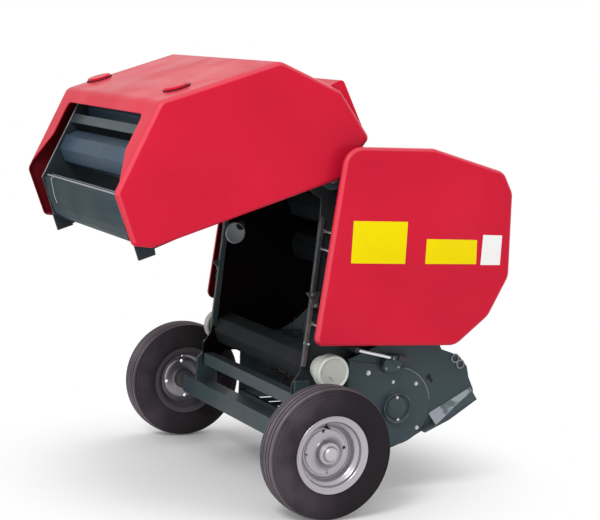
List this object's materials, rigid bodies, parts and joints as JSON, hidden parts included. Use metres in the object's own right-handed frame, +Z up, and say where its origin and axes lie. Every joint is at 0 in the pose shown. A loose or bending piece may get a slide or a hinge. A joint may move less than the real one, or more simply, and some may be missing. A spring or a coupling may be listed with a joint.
{
  "type": "fixed chamber round baler",
  "caption": "Compact round baler on small wheels with a three-point hitch, a tined pickup, ribbed chamber rollers and a raised tailgate.",
  "frame": {"origin": "on the ground, below the middle of the bounding box, with the tailgate raised", "axes": "+X the way it travels, +Y its left side, +Z up"},
  "size_m": [1.4253, 1.26, 1.3659],
  "materials": {
    "red_paint": "gloss",
    "frame_paint": "satin",
    "bar_paint": "satin",
    "roller_paint": "satin",
    "cap_paint": "satin",
    "rim_paint": "gloss",
    "rubber": "matte",
    "bright_steel": "satin",
    "rod_chrome": "polished",
    "guard_plastic": "matte"
  },
  "bodies": {
    "chassis": {"chassis_frame": "frame_paint", "lower_tie": "frame_paint", "front_hood": "frame_paint", "stripper_bands": "frame_paint", "hitch_frame": "frame_paint", "gearbox": "bar_paint", "drive_guard": "guard_plastic", "twine_box": "frame_paint", "leg_sleeve": "frame_paint", "side_wall_right": "frame_paint", "side_cover_right": "red_paint", "cover_stays_right": "frame_paint", "parting_bar_right": "bar_paint", "bearing_cap_right": "cap_paint", "pickup_side_right": "frame_paint", "pickup_rod_right": "bright_steel", "side_wall_left": "frame_paint", "side_cover_left": "red_paint", "cover_stays_left": "frame_paint", "parting_bar_left": "bar_paint", "bearing_cap_left": "cap_paint", "pickup_side_left": "frame_paint", "pickup_rod_left": "bright_steel"},
    "gate": {"gate_hood": "red_paint", "gate_cap": "red_paint", "gate_bar": "frame_paint", "gate_apron": "roller_paint", "gate_panel_right": "red_paint", "gate_wall_right": "roller_paint", "gate_arm_right": "frame_paint", "gate_panel_left": "red_paint", "gate_wall_left": "roller_paint", "gate_arm_left": "frame_paint"},
    "wheel_right": {"rim_right": "rim_paint", "tyre_right": "rubber", "grease_cap_right": "bright_steel"},
    "barrel_right": {"cylinder_barrel_right": "bar_paint"},
    "rod_right": {"cylinder_rod_right": "rod_chrome"},
    "wheel_left": {"rim_left": "rim_paint", "tyre_left": "rubber", "grease_cap_left": "bright_steel"},
    "barrel_left": {"cylinder_barrel_left": "bar_paint"},
    "rod_left": {"cylinder_rod_left": "rod_chrome"},
    "pickup_reel": {"pickup_reel": "bar_paint"},
    "drive_stub": {"drive_stub": "bright_steel"},
    "parking_leg": {"parking_leg": "bar_paint"},
    "front_roller_1": {"front_roller_1": "roller_paint"},
    "front_roller_2": {"front_roller_2": "roller_paint"},
    "front_roller_3": {"front_roller_3": "roller_paint"},
    "front_roller_4": {"front_roller_4": "roller_paint"},
    "front_roller_5": {"front_roller_5": "roller_paint"},
    "gate_roller_1": {"gate_roller_1": "roller_paint"},
    "gate_roller_2": {"gate_roller_2": "roller_paint"},
    "gate_roller_3": {"gate_roller_3": "roller_paint"},
    "gate_roller_4": {"gate_roller_4": "roller_paint"},
    "gate_roller_5": {"gate_roller_5": "roller_paint"},
    "gate_roller_6": {"gate_roller_6": "roller_paint"}
  },
  "joints": [
    {"name": "tailgate", "type": "hinge", "parent": "chassis", "child": "gate", "pos_m": [-0.0054, 0, 1.015], "axis": [0, 1, 0], "range_deg": [-62.6, 0]},
    {"name": "wheel_right_spin", "type": "hinge", "parent": "chassis", "child": "wheel_right", "pos_m": [-0.0674, -0.5725, 0.205], "axis": [0, 1, 0], "continuous": true},
    {"name": "barrel_right_swing", "type": "hinge", "parent": "chassis", "child": "barrel_right", "pos_m": [0.3626, -0.389, 0.7], "axis": [0, 1, 0], "range_deg": [-0.711, 0]},
    {"name": "rod_right_slide", "type": "slide", "parent": "barrel_right", "child": "rod_right", "axis": [-0.6422, 0, 0.7665], "range_m": [0, 0.0938]},
    {"name": "wheel_left_spin", "type": "hinge", "parent": "chassis", "child": "wheel_left", "pos_m": [-0.0674, 0.5725, 0.205], "axis": [0, 1, 0], "continuous": true},
    {"name": "barrel_left_swing", "type": "hinge", "parent": "chassis", "child": "barrel_left", "pos_m": [0.3626, 0.389, 0.7], "axis": [0, 1, 0], "range_deg": [-0.711, 0]},
    {"name": "rod_left_slide", "type": "slide", "parent": "barrel_left", "child": "rod_left", "axis": [-0.6422, 0, 0.7665], "range_m": [0, 0.0938]},
    {"name": "pickup_spin", "type": "hinge", "parent": "chassis", "child": "pickup_reel", "pos_m": [0.2566, 0, 0.294], "axis": [0, 1, 0], "continuous": true},
    {"name": "front_roller_1_spin", "type": "hinge", "parent": "chassis", "child": "front_roller_1", "pos_m": [0.05554, 0, 1.07036], "axis": [0, 1, 0], "continuous": true},
    {"name": "front_roller_2_spin", "type": "hinge", "parent": "chassis", "child": "front_roller_2", "pos_m": [0.18607, 0, 0.995], "axis": [0, 1, 0], "continuous": true},
    {"name": "front_roller_3_spin", "type": "hinge", "parent": "chassis", "child": "front_roller_3", "pos_m": [0.27035, 0, 0.87005], "axis": [0, 1, 0], "continuous": true},
    {"name": "front_roller_4_spin", "type": "hinge", "parent": "chassis", "child": "front_roller_4", "pos_m": [0.29133, 0, 0.7208], "axis": [0, 1, 0], "continuous": true},
    {"name": "front_roller_5_spin", "type": "hinge", "parent": "chassis", "child": "front_roller_5", "pos_m": [0.01001, 0, 0.41912], "axis": [0, 1, 0], "continuous": true},
    {"name": "gate_roller_1_spin", "type": "hinge", "parent": "gate", "child": "gate_roller_1", "pos_m": [-0.03969, 0, 1.18025], "axis": [0, 1, 0], "continuous": true},
    {"name": "gate_roller_2_spin", "type": "hinge", "parent": "gate", "child": "gate_roller_2", "pos_m": [-0.18177, 0, 1.25218], "axis": [0, 1, 0], "continuous": true},
    {"name": "gate_roller_3_spin", "type": "hinge", "parent": "gate", "child": "gate_roller_3", "pos_m": [-0.34101, 0, 1.25037], "axis": [0, 1, 0], "continuous": true},
    {"name": "gate_roller_4_spin", "type": "hinge", "parent": "gate", "child": "gate_roller_4", "pos_m": [-0.48142, 0, 1.17524], "axis": [0, 1, 0], "continuous": true},
    {"name": "gate_roller_5_spin", "type": "hinge", "parent": "gate", "child": "gate_roller_5", "pos_m": [-0.57128, 0, 1.04376], "axis": [0, 1, 0], "continuous": true},
    {"name": "gate_roller_6_spin", "type": "hinge", "parent": "gate", "child": "gate_roller_6", "pos_m": [-0.59027, 0, 0.88565], "axis": [0, 1, 0], "continuous": true},
    {"name": "drive_stub_spin", "type": "hinge", "parent": "chassis", "child": "drive_stub", "pos_m": [0.5886, 0, 0.75], "axis": [1, 0, 0], "continuous": true},
    {"name": "parking_leg_slide", "type": "slide", "parent": "chassis", "child": "parking_leg", "axis": [0, 0, 1], "range_m": [0, 0.35]}
  ],
  "couplings": [
    {"joint": "barrel_right_swing", "follows": "tailgate", "ratio": 0.010554},
    {"joint": "rod_right_slide", "follows": "tailgate", "m_per_rad": -0.085439},
    {"joint": "barrel_left_swing", "follows": "tailgate", "ratio": 0.010554},
    {"joint": "rod_left_slide", "follows": "tailgate", "m_per_rad": -0.085439},
    {"joint": "front_roller_1_spin", "follows": "pickup_spin", "ratio": 1.75},
    {"joint": "front_roller_2_spin", "follows": "pickup_spin", "ratio": 1.75},
    {"joint": "front_roller_3_spin", "follows": "pickup_spin", "ratio": 1.75},
    {"joint": "front_roller_4_spin", "follows": "pickup_spin", "ratio": 1.75},
    {"joint": "front_roller_5_spin", "follows": "pickup_spin", "ratio": 1.75},
    {"joint": "gate_roller_1_spin", "follows": "pickup_spin", "ratio": 1.75},
    {"joint": "gate_roller_2_spin", "follows": "pickup_spin", "ratio": 1.75},
    {"joint": "gate_roller_3_spin", "follows": "pickup_spin", "ratio": 1.75},
    {"joint": "gate_roller_4_spin", "follows": "pickup_spin", "ratio": 1.75},
    {"joint": "gate_roller_5_spin", "follows": "pickup_spin", "ratio": 1.75},
    {"joint": "gate_roller_6_spin", "follows": "pickup_spin", "ratio": 1.75},
    {"joint": "drive_stub_spin", "follows": "pickup_spin", "ratio": -4.5}
  ]
}
